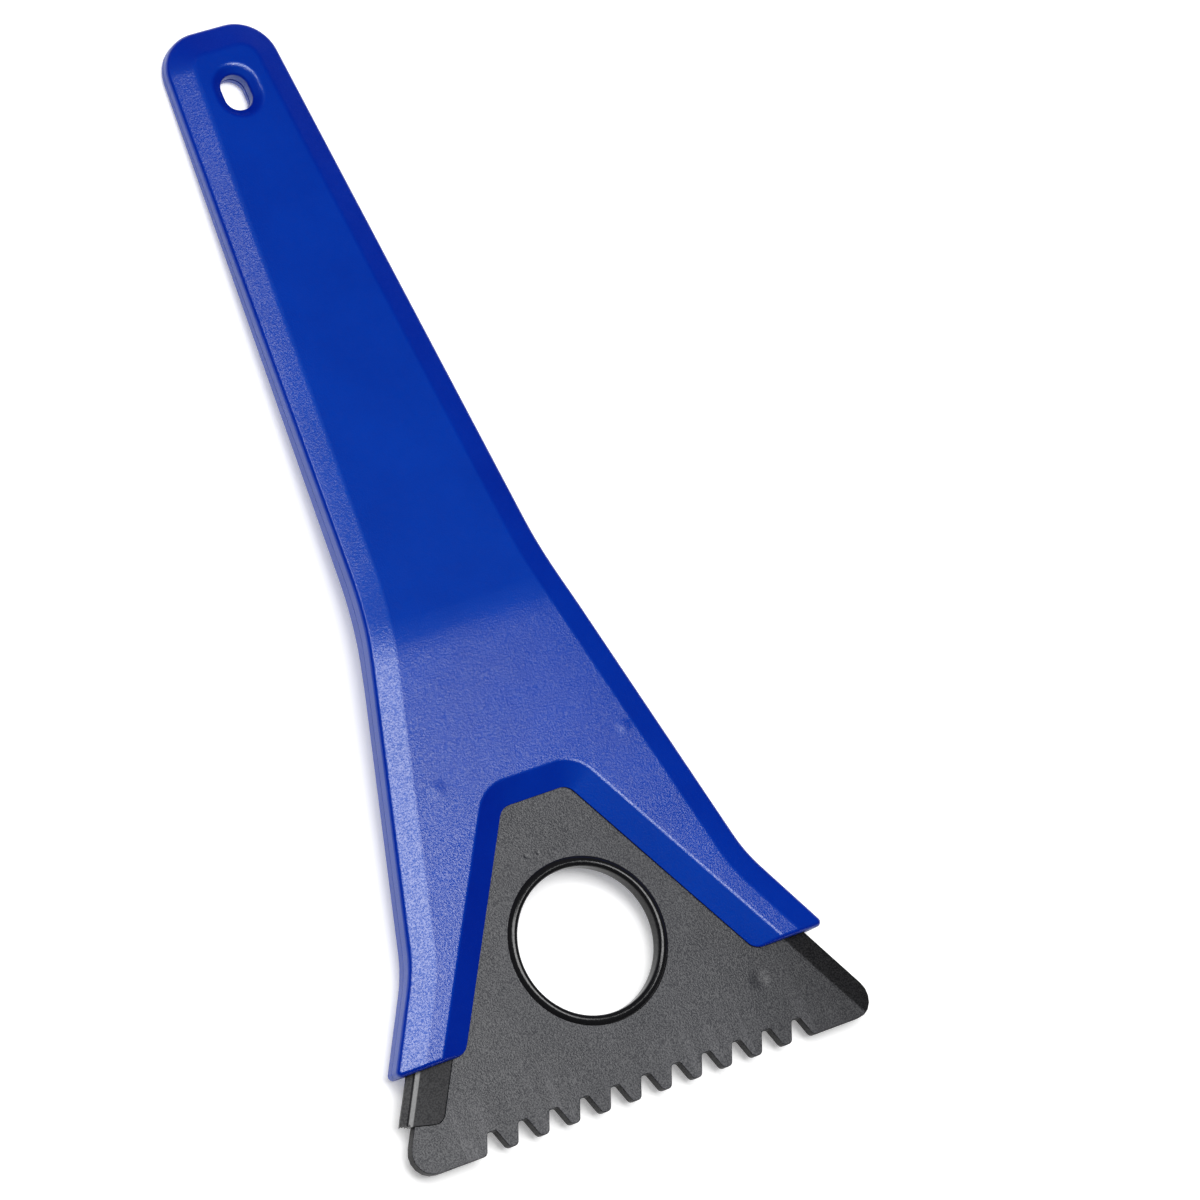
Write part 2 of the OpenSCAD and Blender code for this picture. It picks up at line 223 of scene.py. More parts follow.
class Solid:
    """Collects faces by their corners and welds them into one closed mesh."""

    def __init__(self):
        self.verts, self.index, self.faces = [], {}, []

    def vert(self, p):
        key = (round(p[0], 3), round(p[1], 3), round(p[2], 3))
        if key not in self.index:
            self.index[key] = len(self.verts)
            self.verts.append((p[0], p[1], p[2]))
        return self.index[key]

    def face(self, points):
        ids = []
        for p in points:
            i = self.vert(p)
            if not ids or ids[-1] != i:
                ids.append(i)
        while len(ids) > 1 and ids[0] == ids[-1]:
            ids.pop()
        if len(set(ids)) > 2 and len(set(ids)) == len(ids):
            self.faces.append(ids)

    def rows(self, a, b, closed=False):
        k = len(a)
        for i in range(k if closed else k - 1):
            j = (i + 1) % k
            self.face([a[i], a[j], b[j], b[i]])

    def sheet(self, rows, closed=False):
        for a, b in zip(rows, rows[1:]):
            self.rows(a, b, closed)

    def lathe(self, profile, steps):
        """Turns a closed profile of (radius, height) round the z axis."""
        for i in range(steps):
            a, b = 2 * math.pi * i / steps, 2 * math.pi * (i + 1) / steps
            for (r0, z0), (r1, z1) in zip(profile, profile[1:] + profile[:1]):
                self.face([(r * math.cos(t), r * math.sin(t), z)
                           for r, z, t in ((r0, z0, a), (r1, z1, a), (r1, z1, b), (r0, z0, b))])

    def mirrored(self, axis):
        """Adds the mirror image, in x for axis 0 and in z for axis 2."""
        for ids in list(self.faces):
            pts = []
            for i in reversed(ids):
                p = list(self.verts[i])
                p[axis] = -p[axis]
                pts.append(p)
            self.face(pts)

    def build(self, name, material, sharp=38):
        """Makes the mesh object. Edges that turn by more than sharp degrees stay sharp."""
        mesh = bpy.data.meshes.new(name)
        mesh.from_pydata([place(*v) for v in self.verts], [], self.faces)
        bm = bmesh.new()
        bm.from_mesh(mesh)
        bmesh.ops.remove_doubles(bm, verts=bm.verts, dist=WELD)
        bmesh.ops.recalc_face_normals(bm, faces=bm.faces)
        for e in bm.edges:
            e.smooth = len(e.link_faces) != 2 or e.calc_face_angle(0) < math.radians(sharp)
        for f in bm.faces:
            f.smooth = True
        bm.to_mesh(mesh)
        bm.free()
        obj = add_object(name, mesh)
        soften = obj.modifiers.new("weighted", "WEIGHTED_NORMAL")
        soften.keep_sharp = True
        soften.weight = 60
        mesh.materials.append(material)
        return obj


# -------------------- materials
def new_material(name):
    mat = bpy.data.materials.new(name)
    mat.use_nodes = True
    nt = mat.node_tree
    return mat, nt, nt.nodes["Principled BSDF"]


SHINE = "Specular IOR Level"
# sizes of the noise: blotches of colour, and the faint wave of a moulded face
CLOUD_SCALE, WAVE_SCALE = 60.0, 45.0


def noise_node(nt, scale, detail=2.0, rough=0.5, stretch=None):
    """Noise in the object's own metres, between 0 and 1."""
    coord = nt.nodes.new("ShaderNodeTexCoord")
    source = coord.outputs["Object"]
    if stretch:
        mapping = nt.nodes.new("ShaderNodeMapping")
        mapping.inputs["Scale"].default_value = stretch
        nt.links.new(source, mapping.inputs["Vector"])
        source = mapping.outputs["Vector"]
    n = nt.nodes.new("ShaderNodeTexNoise")
    n.inputs["Scale"].default_value = scale
    n.inputs["Detail"].default_value = detail
    n.inputs["Roughness"].default_value = rough
    nt.links.new(source, n.inputs["Vector"])
    return n.outputs["Fac"]


def ramp(nt, fac, stops):
    """A colour between two stops of (position, colour)."""
    r = nt.nodes.new("ShaderNodeValToRGB")
    for e, (pos, col) in zip(r.color_ramp.elements, stops):
        e.position = pos
        e.color = (*col, 1.0)
    nt.links.new(fac, r.inputs["Fac"])
    return r.outputs["Color"]


def maths(nt, op, *values):
    m = nt.nodes.new("ShaderNodeMath")
    m.operation = op
    for socket, v in zip(m.inputs, values):
        if hasattr(v, "links"):
            nt.links.new(v, socket)
        else:
            socket.default_value = v
    return m.outputs[0]


def tinted(nt, factor, old, tone):
    """The colour old, changed to the tone where the factor is 1."""
    # a colour Mix node has its factor at input 0, and its two colours at 6 and 7
    mix = nt.nodes.new("ShaderNodeMix")
    mix.data_type = "RGBA"
    nt.links.new(factor, mix.inputs[0])
    nt.links.new(old, mix.inputs[6])
    mix.inputs[7].default_value = (*tone, 1.0)
    return mix.outputs[2]


def source_of(bsdf, name):
    """What feeds one of the shader's inputs."""
    return bsdf.inputs[name].links[0].from_socket


def grey(v):
    return (v, v, v)


def bump(nt, bsdf, heights):
    """Chained bumps: (height between 0 and 1, depth in millimetres)."""
    normal = None
    for height, depth in heights:
        node = nt.nodes.new("ShaderNodeBump")
        node.inputs["Distance"].default_value = depth * MM
        node.inputs["Strength"].default_value = 1.0
        nt.links.new(height, node.inputs["Height"])
        if normal:
            nt.links.new(normal, node.inputs["Normal"])
        normal = node.outputs["Normal"]
    nt.links.new(normal, bsdf.inputs["Normal"])


def own_frame(nt):
    """Texture coordinates in the part's own frame, in metres."""
    coord = nt.nodes.new("ShaderNodeTexCoord")
    mapping = nt.nodes.new("ShaderNodeMapping")
    mapping.inputs["Rotation"].default_value = (-LEAN, 0.0, 0.0)
    mapping.inputs["Location"].default_value = -(TURN.inverted() @ ORIGIN)
    nt.links.new(coord.outputs["Object"], mapping.inputs["Vector"])
    return mapping.outputs["Vector"]


def fade(nt, value, start, end):
    """0 at start and 1 at end, with soft ends."""
    node = nt.nodes.new("ShaderNodeMapRange")
    node.interpolation_type = "SMOOTHSTEP"
    node.inputs["From Min"].default_value = start
    node.inputs["From Max"].default_value = end
    nt.links.new(value, node.inputs["Value"])
    return node.outputs["Result"]


def spot(nt, local, x, y, radius):
    """A round mark, in millimetres: 1 in its middle, 0 outside."""
    flat = nt.nodes.new("ShaderNodeVectorMath")
    flat.operation = "MULTIPLY"
    flat.inputs[1].default_value = (1.0, 1.0, 0.0)
    nt.links.new(local, flat.inputs[0])
    far = nt.nodes.new("ShaderNodeVectorMath")
    far.operation = "DISTANCE"
    far.inputs[1].default_value = (x * MM, y * MM, 0.0)
    nt.links.new(flat.outputs["Vector"], far.inputs[0])
    return fade(nt, far.outputs["Value"], radius * MM, 0.0)


def strip(nt, facing, start, end):
    """1 between two distances (mm) from the middle of the hole, along a direction (degrees)."""
    soft_in, soft_out = 0.2, 0.15
    across = nt.nodes.new("ShaderNodeVectorMath")
    across.operation = "DOT_PRODUCT"
    across.inputs[1].default_value = (math.cos(math.radians(facing)), math.sin(math.radians(facing)), 0.0)
    nt.links.new(own_frame(nt), across.inputs[0])
    distance = across.outputs["Value"]
    return maths(nt, "MULTIPLY", fade(nt, distance, (start - soft_in) * MM, (start + soft_in) * MM),
                 fade(nt, distance, (end + soft_out) * MM, (end - soft_out) * MM))


def grained_plastic(name, dark, light, rough, shine, grain, grain_depth, wave_depth, coat=None, marks=()):
    """Moulded plastic: clouded colour, eroded grain that breaks up the shine, a faint wave and marks.

    rough and shine are (low, high) over the grain, and depths are in mm. coat is (roughness, tint and
    level of the layer under it, refraction) of a clear layer that takes the shine. marks are
    (x, y, radius, depth) in mm.
    """
    mat, nt, bsdf = new_material(name)
    cloud = noise_node(nt, CLOUD_SCALE, 4.0, 0.6)
    fine = noise_node(nt, grain, 2.0, 0.6)
    gloss = ramp(nt, fine, [(0.40, grey(shine[0])), (0.60, grey(shine[1]))])
    if coat:
        nt.links.new(gloss, bsdf.inputs["Coat Weight"])
        bsdf.inputs["Coat Roughness"].default_value = coat[0]
        bsdf.inputs["Specular Tint"].default_value = (*coat[1], 1.0)
        bsdf.inputs[SHINE].default_value = coat[2]
        bsdf.inputs["Coat IOR"].default_value = coat[3]
    else:
        nt.links.new(gloss, bsdf.inputs[SHINE])
    nt.links.new(ramp(nt, cloud, [(0.3, dark), (0.7, light)]), bsdf.inputs["Base Color"])
    nt.links.new(ramp(nt, fine, [(0.3, grey(rough[0])), (0.7, grey(rough[1]))]), bsdf.inputs["Roughness"])
    heights = [(noise_node(nt, WAVE_SCALE), wave_depth), (fine, grain_depth)]
    if marks:
        local = own_frame(nt)
        for x, y, radius, depth in marks:
            heights.insert(0, (spot(nt, local, x, y, radius), depth))
    bump(nt, bsdf, heights)
    if coat:
        nt.links.new(source_of(bsdf, "Normal"), bsdf.inputs["Coat Normal"])
    return mat


def flow_streaks_and_shade(mat):
    """Paler flow streaks running up from the teeth, and painted shade: the plate darkens, with less shine,
    towards its corner beside the scraping edge.
    """
    nt = mat.node_tree
    bsdf = nt.nodes["Principled BSDF"]
    split = nt.nodes.new("ShaderNodeSeparateXYZ")
    nt.links.new(own_frame(nt), split.inputs["Vector"])
    streaks = fade(nt, noise_node(nt, 1.0, 3.0, 0.6, (210.0, 11.0, 11.0)), 0.45, 0.72)
    near_teeth = fade(nt, split.outputs["Y"], -16.0 * MM, -36.0 * MM)
    # painted shade: colour and shine fall off towards the plate's right, standing in for dimmer light there
    painted_shade_right = fade(nt, split.outputs["X"], 22.0 * MM, 58.0 * MM)
    colour = source_of(bsdf, "Base Color")
    # the streaks are the plastic's own tone; the second tone is painted shade
    for share, tone in ((maths(nt, "MULTIPLY", streaks, near_teeth), (0.062, 0.062, 0.070)),
                        (painted_shade_right, (0.006, 0.006, 0.008))):
        colour = tinted(nt, maths(nt, "MULTIPLY", share, 0.7), colour, tone)
    nt.links.new(colour, bsdf.inputs["Base Color"])
    # the shine is lowered in the painted shade as well
    share = maths(nt, "SUBTRACT", 1.14, maths(nt, "MULTIPLY", painted_shade_right, 0.34))
    shine = maths(nt, "MULTIPLY", source_of(bsdf, SHINE), share)
    nt.links.new(shine, bsdf.inputs[SHINE])


def dull_walls(mat, low, layer=SHINE, paint_shade=True):
    """Side walls take less shine: the named layer sinks to the share low, and with paint_shade their colour
    darkens as painted shade.
    """
    nt = mat.node_tree
    bsdf = nt.nodes["Principled BSDF"]
    geometry = nt.nodes.new("ShaderNodeNewGeometry")
    split = nt.nodes.new("ShaderNodeSeparateXYZ")
    nt.links.new(geometry.outputs["True Normal"], split.inputs["Vector"])
    upright = fade(nt, maths(nt, "ABSOLUTE", split.outputs["Z"]), 0.85, 0.25)
    flat = maths(nt, "SUBTRACT", 1.0, upright)
    shine = maths(nt, "MULTIPLY", source_of(bsdf, layer), maths(nt, "MAXIMUM", flat, low))
    nt.links.new(shine, bsdf.inputs[layer])
    # painted shade: upright walls get a darker colour
    if paint_shade:
        colour = tinted(nt, upright, source_of(bsdf, "Base Color"), (0.004, 0.004, 0.005))
        nt.links.new(colour, bsdf.inputs["Base Color"])


def glossy_strip(mat, facing, start, end):
    """A polished strip beside a straight edge."""
    nt = mat.node_tree
    bsdf = nt.nodes["Principled BSDF"]
    polish = maths(nt, "MULTIPLY", strip(nt, facing, start, end), 1.4)
    shine = maths(nt, "MAXIMUM", source_of(bsdf, SHINE), polish)
    nt.links.new(shine, bsdf.inputs[SHINE])


def painted_shade_strip(mat, facing, start, end, tone):
    """Painted shade: a darker strip beside a straight edge."""
    nt = mat.node_tree
    bsdf = nt.nodes["Principled BSDF"]
    colour = tinted(nt, strip(nt, facing, start, end), source_of(bsdf, "Base Color"), tone)
    nt.links.new(colour, bsdf.inputs["Base Color"])


# small marks on the fork's face, the sink mark on the head and the two dimples by the notch
FORK_MARKS = ((26.0, 43.0, 2.4, 0.05), (-23.0, 43.0, 2.8, 0.05), (38.0, 31.0, 1.6, -0.04))
HEAD_MARKS = ((36.5, -21.5, 3.0, -0.20), (-7.0, 22.5, 0.8, -0.10), (-4.0, 22.5, 0.7, -0.08))

BLUE = grained_plastic("blue_plastic_satin", dark=(0.0, 0.009, 0.255), light=(0.0, 0.014, 0.290),
                       rough=(0.46, 0.54), shine=(0.26, 0.86), grain=2500.0, grain_depth=0.03,
                       wave_depth=0.04, coat=(0.17, (0.0, 0.33, 1.0), 1.0, 1.76), marks=FORK_MARKS)
dull_walls(BLUE, 0.40, "Coat Weight", paint_shade=False)

CHARCOAL = grained_plastic("charcoal_plastic_grained", dark=(0.014, 0.015, 0.020),
                           light=(0.022, 0.023, 0.029), rough=(0.34, 0.46), shine=(0.35, 1.0),
                           grain=2800.0, grain_depth=0.08, wave_depth=0.2, marks=HEAD_MARKS)
flow_streaks_and_shade(CHARCOAL)
# painted shade along the scraping edge's bevel
painted_shade_strip(CHARCOAL, 30.0, EDGE_D - BEVEL_W, EDGE_D + 1.0, (0.005, 0.005, 0.006))
# the head's side walls: less shine, and painted shade in their colour
dull_walls(CHARCOAL, 0.12)

GLOSSY = grained_plastic("black_plastic_glossy", dark=(0.006, 0.006, 0.007), light=(0.009, 0.009, 0.010),
                         rough=(0.12, 0.20), shine=(0.40, 0.60), grain=1500.0, grain_depth=0.006,
                         wave_depth=0.04)
# the collar's and pegs' side walls: less shine, and painted shade in their colour
dull_walls(GLOSSY, 0.15)

RUBBER = grained_plastic("black_rubber_matt", dark=(0.014, 0.014, 0.016), light=(0.022, 0.022, 0.024),
                         rough=(0.38, 0.46), shine=(0.12, 0.36), grain=2600.0, grain_depth=0.03,
                         wave_depth=0.2)
glossy_strip(RUBBER, 150.0, RUBBER_D + 0.4, RUBBER_D + 1.4)


# -------------------- handle outline
def bend_ends(bend):
    return [bend[0] - bend[1], bend[0] + bend[1]]


FLARE_YS = [2.5 + 1.5 * i for i in range(7)]
BEND_YS = [69.5] + [75.0 + 1.5 * i for i in range(6)]
WAIST_YS = [87.0 + 2.5 * i for i in range(4)] + [96.5]
PLAIN_YS = [30.0, 50.0] + [110.0 + 20.0 * i for i in range(5)] + [205.0]
SIDE_YS = sorted(set(FLARE_YS + BEND_YS + WAIST_YS + PLAIN_YS + bend_ends(FRONT_BEND)
                     + bend_ends(SEAM_BEND) + bend_ends(COVER_BEND)))
CORNER_STEPS = 6
RIM_STEPS = 5
LONGEST = 8.0


def side_normal(y):
    h = 0.05
    d = (side_w(y + h) - side_w(y - h)) / (2 * h)
    return Vector((1, -d)).normalized()


def outer_path():
    """Right half of the handle's outline, from the fork's outer corner to the middle of the grip's end."""
    y_above, y_below = -2.0, 200.0
    corner, m = fillet((0.0, FORK_END), (side_w(FORK_END), FORK_END), (side_w(y_above), y_above),
                       TIP_R_OUT, CORNER_STEPS)
    path = [(p, (p - m) / TIP_R_OUT) for p in corner]
    path += [(Vector((side_w(y), y)), side_normal(y)) for y in SIDE_YS]
    top, m = fillet((side_w(y_below), y_below), (GRIP_END_W, GRIP_END), (0.0, GRIP_END), GRIP_R, 16)
    path += [(p, (p - m) / GRIP_R) for p in top]
    path.append((Vector((0.0, GRIP_END)), Vector((0, 1))))
    return path


def notch_x(y):
    return NOTCH_TOP + NOTCH_SLOPE * (NOTCH_Y - y)


NOTCH_DOWN = Vector((NOTCH_SLOPE, -1)).normalized()
NOTCH_NORMAL = Vector((-1, -NOTCH_SLOPE)).normalized()
NOTCH_EDGE_Z = POCKET_Z + 0.15
NOTCH_RISE = (FRONT_H - NOTCH_EDGE_Z) / NOTCH_W


def notch_distance(p):
    """How far a point is inside the arm, measured from the notch's straight edge."""
    return (Vector((notch_x(NOTCH_Y), NOTCH_Y)) - p).dot(NOTCH_NORMAL)


def bevel_z(d):
    """Height of the notch's bevel at a distance from the notch's edge."""
    return NOTCH_EDGE_Z + NOTCH_RISE * d


def notch_path(channel=False):
    """Right half of the notch, from its middle to the end of its rounded corner. Normals point into it.

    With channel, it starts at the round end of the channel that a snap peg runs in.
    """
    y_below = -60.0
    arc, m = fillet((0.0, NOTCH_Y), (NOTCH_TOP, NOTCH_Y), (notch_x(y_below), y_below), NOTCH_R, 10)
    corner = [(p, (m - p) / NOTCH_R) for p in arc]
    if not channel:
        return [(Vector((0.0, NOTCH_Y)), Vector((0, -1)))] + corner
    arc, m = fillet((CHANNEL_W, PEG_RING), (CHANNEL_W, NOTCH_Y), (NOTCH_TOP, NOTCH_Y), CHANNEL_R, 4)
    lip = [(p, (p - m) / CHANNEL_R) for p in arc]
    steps = 8
    turns = [math.pi / 2 * (1 - i / steps) for i in range(steps + 1)]
    end = [(Vector((CHANNEL_W * math.cos(a), PEG_RING + CHANNEL_W * math.sin(a))),
            Vector((-math.cos(a), -math.sin(a)))) for a in turns]
    return end + lip + corner


def arm_tip(steps=8):
    """The arm's rounded inner corner, from the notch to the end line: points, normals and rim radii."""
    y_above, x_beyond = 10.0, 80.0
    arc, m = fillet((notch_x(y_above), y_above), (notch_x(FORK_END), FORK_END), (x_beyond, FORK_END),
                    TIP_R_IN, steps)
    out = []
    for p in arc:
        room = (bevel_z(notch_distance(p)) - POCKET_Z) * 0.92
        out.append((p, (p - m) / TIP_R_IN, max(NOTCH_RIM, min(TIP_R_OUT, room))))
    return out


def pocket_x(y):
    return (POCKET_D - y * 0.5) / math.cos(math.pi / 6)


def pocket_path():
    """The pocket's wall from just inside the fork's end up to its rounded top."""
    y0 = FORK_END + GROOVE[-1][0]
    arc, _ = fillet((pocket_x(y0), y0), (0.0, 2 * POCKET_D), (-pocket_x(y0), y0), CORNER_R, 12)
    half = [p for p in arc if p.x > -1e-6]
    half[-1].x = 0.0
    return [Vector((pocket_x(y0), y0))] + half


# -------------------- rows of points that both shells use
def inset(p, nrm, d, z):
    """The point d inside the outline point p, at height z."""
    q = p - nrm * d
    return (q.x, q.y, z)


def rim(p, nrm, radius, start, z0, up=1.0):
    """Rounded edge from a face at height z0 out to the wall. start is the angle between face and wall."""
    out = []
    for k in range(RIM_STEPS + 1):
        t = start * (1 - k / RIM_STEPS)
        z = z0 - up * radius * (math.sin(start) - math.sin(t))
        out.append(inset(p, nrm, radius * (1 - math.cos(t)), z))
    return out


def crease(z_edge, width, z_top, slope_in, r):
    """Offsets and heights over the soft crease where a sloped band, width wide, meets the flat top."""
    run = 6.0
    pts, _ = fillet((0.0, z_edge), (width, z_top), (width + run, z_top + run * slope_in), r, 4)
    return [(p.x, p.y) for p in pts]


def split_at_bend(rail, path, bend):
    """The stretches of a rail before, over and after a bend, by the outline that the rail follows."""
    start, end = bend_ends(bend)
    near = 0.01
    pairs = [(q, p.y) for q, (p, _) in zip(rail, path)]
    return ([q for q, y in pairs if y <= start + near],
            [q for q, y in pairs if start - near <= y <= end + near],
            [q for q, y in pairs if y >= end - near])


def to_middle(row):
    return [(0.0, y, z) for _, y, z in row]


def slot_frame():
    """A point on the grip's top in the middle of the slot, with the slot's long and deep directions."""
    a = math.atan(FRONT_BEND[2])
    return (Vector((0, SLOT_Y, front_z(SLOT_Y))), Vector((0, math.cos(a), -math.sin(a))),
            Vector((0, math.sin(a), math.cos(a))))


def slot_outline(grow, steps=14):
    """Right half of the slot's outline, widened by grow."""
    run = (SLOT_L - SLOT_W) / 2
    r = SLOT_W / 2 + grow
    turns = [math.pi / 2 * i / steps for i in range(steps + 1)]
    pts = [(r * math.sin(a), run + r * math.cos(a)) for a in turns]
    return pts + [(x, -y) for x, y in reversed(pts)]


# the dish round the slot: distance out from the slot's wall, depth under the grip's top
DISH = ((2.9, 0.0), (2.6, 0.015), (2.3, 0.07), (1.95, 0.2), (1.5, 0.46), (1.1, 0.75), (0.75, 1.0),
        (0.45, 1.2), (0.22, 1.38), (0.07, 1.62), (0.0, 1.95))


def slot_rings():
    """Half rings of the hang slot's dish, from the flat top down to the hole's wall."""
    c, v, w = slot_frame()
    return [[tuple(c + Vector((x, 0, 0)) + v * y - w * depth) for x, y in slot_outline(grow)]
            for grow, depth in DISH]


def slot_ring_on(bend, z_flat, grow=0.0, lift=0.0):
    """The slot's half ring where its wall meets one of the sloping planes of the grip, or lift above it."""
    c, v, w = slot_frame()
    out = []
    for x, y in slot_outline(grow):
        q = c + Vector((x, 0, 0)) + v * y
        plane_z = z_flat - bend[2] * (q.y - bend[0])
        t = (q.z - plane_z - lift) / (w.z + bend[2] * w.y)
        out.append(tuple(q - w * t))
    return out


def parting_faces(s, rail, path, hole):
    """The faces where the two shells meet, the same on both."""
    flat, bend, steep = split_at_bend(rail, path, SEAM_BEND)
    pocket = [(p.x, p.y, SEAM_Z) for p in reversed(pocket_path())]
    s.face(flat + [(0.0, flat[-1][1], SEAM_Z)] + pocket)
    s.rows(bend, to_middle(bend))
    s.face(steep + hole + to_middle(steep[:1]))


def pocket_faces(s, floor_z, edge, foot):
    """The pocket's wall, that wall's end in the fork's mouth, and the floor as far as the notch."""
    pocket = pocket_path()
    seam = [(p.x, p.y, SEAM_Z) for p in pocket]
    floor_line = [(p.x, p.y, floor_z) for p in pocket]
    mouth = (pocket_x(FORK_END), FORK_END, floor_z)
    s.rows(seam, floor_line)
    s.face([seam[0], floor_line[0], mouth] + foot)
    s.face(floor_line[::-1] + [mouth] + edge)


# -------------------- front shell
END_Y = FORK_END + TIP_R_OUT


def front_wall(p, nrm):
    """The wall's foot with its share of the groove along the parting line."""
    return [inset(p, nrm, d, seam_z(p.y) + h) for d, h in GROOVE]


def flank_column(p, nrm):
    """From one point of the outline: its rounded rim, and the flank up to the flat top."""
    crest = p - nrm * FLANK_W
    low_z, top_z = flank_z(p.y), front_z(crest.y)
    alpha = math.atan2(top_z - low_z, FLANK_W)
    start = math.pi / 2 - alpha
    d0 = TIP_R_OUT * (1 - math.cos(start))
    z0 = low_z + d0 * math.tan(alpha)
    half = (FLANK_W - TIP_R_OUT - d0) * 0.5
    band = [(d0 + half, z0 + half * math.tan(alpha))]
    band += crease(low_z, FLANK_W, top_z, front_z((crest - nrm).y) - top_z, FLANK_CREASE_R)
    return rim(p, nrm, TIP_R_OUT, start, z0), [inset(p, nrm, d, z) for d, z in band]


def corner_rim(p, nrm, share, side_nrm):
    """The rim round the fork's outer corner, which turns from the arm's end (share 0) to the flank (1)."""
    start = math.pi / 2 - math.atan2(FLANK_DROP, FLANK_W) * share
    q = p - nrm * (TIP_R_OUT * (1 - math.cos(start)))
    d = (Vector((side_w(q.y), q.y)) - q).dot(side_nrm)
    return rim(p, nrm, TIP_R_OUT, start, flank_z(0.0) + d * FLANK_DROP / FLANK_W)


def outer_faces(s, out):
    """Wall, rim and flank. Returns the corner's rims, the flank's end on the arm and its bands."""
    corner, sides = out[:CORNER_STEPS + 1], out[CORNER_STEPS + 1:]
    side_nrm = corner[-1][1]
    rims = [corner_rim(p, nrm, i / CORNER_STEPS, side_nrm) for i, (p, nrm) in enumerate(corner)]
    columns = [flank_column(p, nrm) for p, nrm in sides]
    edges = rims + [edge for edge, _ in columns]
    s.sheet([edge + front_wall(p, nrm) for edge, (p, nrm) in zip(edges, out)])
    # the band is led along the side to the line where the rim of the arm's end starts
    along = Vector((-side_nrm.y, side_nrm.x))
    band_end = []
    for x, y, z in flank_column(*corner[-1])[1]:
        band_end.append((x + along.x * (END_Y - y) / along.y, END_Y, z))
    s.face([edge[0] for edge in rims] + [band_end[0]])
    bands = [[edge[0]] + band for edge, band in columns]
    s.sheet([[rims[-1][0]] + band_end] + bands)
    return rims, band_end, bands


def notch_faces(s):
    """Bevel and edge of the notch, with the arm's inner corner.

    Returns the bevel's top line, its end on the arm, the corner's rims, and the edge's foot in the pocket.
    """
    tip = arm_tip()
    notch = densify(notch_path() + [(tip[0][0] - NOTCH_DOWN * 4.0, NOTCH_NORMAL)], LONGEST)
    bevel = math.pi / 2 - math.atan(NOTCH_RISE)
    tip_rims, offsets = [], []
    for i, (p, nrm, r) in enumerate(tip):
        start = bevel + (math.pi / 2 - bevel) * i / (len(tip) - 1)
        offsets.append(notch_distance(p - nrm * (r * (1 - math.cos(start)))))
        tip_rims.append(rim(p, nrm, r, start, bevel_z(offsets[-1])))
    offsets[0] = NOTCH_RIM * (1 - math.cos(bevel))
    top = crease(NOTCH_EDGE_Z, NOTCH_W, FRONT_H, 0.0, NOTCH_CREASE_R)
    profile = [(d, bevel_z(d)) for d in offsets] + top
    bands = [[inset(p, nrm, d, z) for d, z in profile] for p, nrm in notch]
    edges = [rim(p, nrm, NOTCH_RIM, bevel, profile[0][1]) + [(p.x, p.y, POCKET_Z)] for p, nrm in notch]
    edges += [r + [(r[-1][0], r[-1][1], POCKET_Z)] for r in tip_rims]
    # the bevel ends on the arm's rounded corner, then on its end line
    stretch = math.sqrt(1 + NOTCH_SLOPE ** 2)
    band_end = [(notch_x(END_Y) + d * stretch, END_Y, z) for d, z in top]
    s.sheet(bands + [[r[0] for r in tip_rims] + band_end])
    s.sheet(edges)
    return [b[-1] for b in bands], band_end, tip_rims, [e[-1] for e in edges]


def front_shell():
    s = Solid()
    out = outer_path()
    corner_rims, flank_end, bands = outer_faces(s, out)
    notch_top, bevel_end, tip_rims, edge = notch_faces(s)
    # end of the arm: the rim along its end line and the flat end under it
    ends = [rim(Vector((x, FORK_END)), Vector((0, -1)), TIP_R_OUT, math.pi / 2, z)
            for x, _, z in bevel_end + flank_end[::-1]]
    ends = [tip_rims[-1]] + ends + [corner_rims[0]]
    s.sheet(ends)
    foot = front_wall(*out[0])
    foot_in = [(pocket_x(y), y, z) for _, y, z in foot]
    s.face([e[-1] for e in ends] + [foot[0], foot_in[0], (pocket_x(FORK_END), FORK_END, POCKET_Z), edge[-1]])
    s.rows(foot, foot_in)
    # flat top of the fork, the bend, and the grip's top round the slot
    flat, bend, steep = split_at_bend([b[-1] for b in bands], out[CORNER_STEPS + 1:], FRONT_BEND)
    s.face(notch_top + [bevel_end[-1], flank_end[-1]] + flat + [(0.0, flat[-1][1], FRONT_H)])
    s.rows(bend, to_middle(bend))
    rings = slot_rings()
    s.face(steep + rings[0] + to_middle(steep[:1]))
    rings.append(slot_ring_on(SEAM_BEND, SEAM_Z, lift=SLOT_GROOVE))
    rings.append(slot_ring_on(SEAM_BEND, SEAM_Z, grow=SLOT_GROOVE))
    s.sheet(rings)
    parting_faces(s, [front_wall(p, nrm)[-1] for p, nrm in out], out, rings[-1])
    pocket_faces(s, POCKET_Z, edge[::-1], foot_in)
    s.mirrored(0)
    return s.build("front_shell_skin", BLUE)


# -------------------- rear cover
def cover_rail(p, nrm):
    """The groove at the parting line, the wall, and the rounded rim at the back."""
    groove = [inset(p, nrm, d, seam_z(p.y) - h) for d, h in reversed(GROOVE)]
    return groove + rim(p, nrm, COVER_RIM, math.pi / 2, back_z(p.y), up=-1.0)[::-1]


def cover_notch_rail(p, nrm):
    return [(p.x, p.y, -POCKET_Z)] + rim(p, nrm, COVER_NOTCH_RIM, math.pi / 2, COVER_Z, up=-1.0)[::-1]


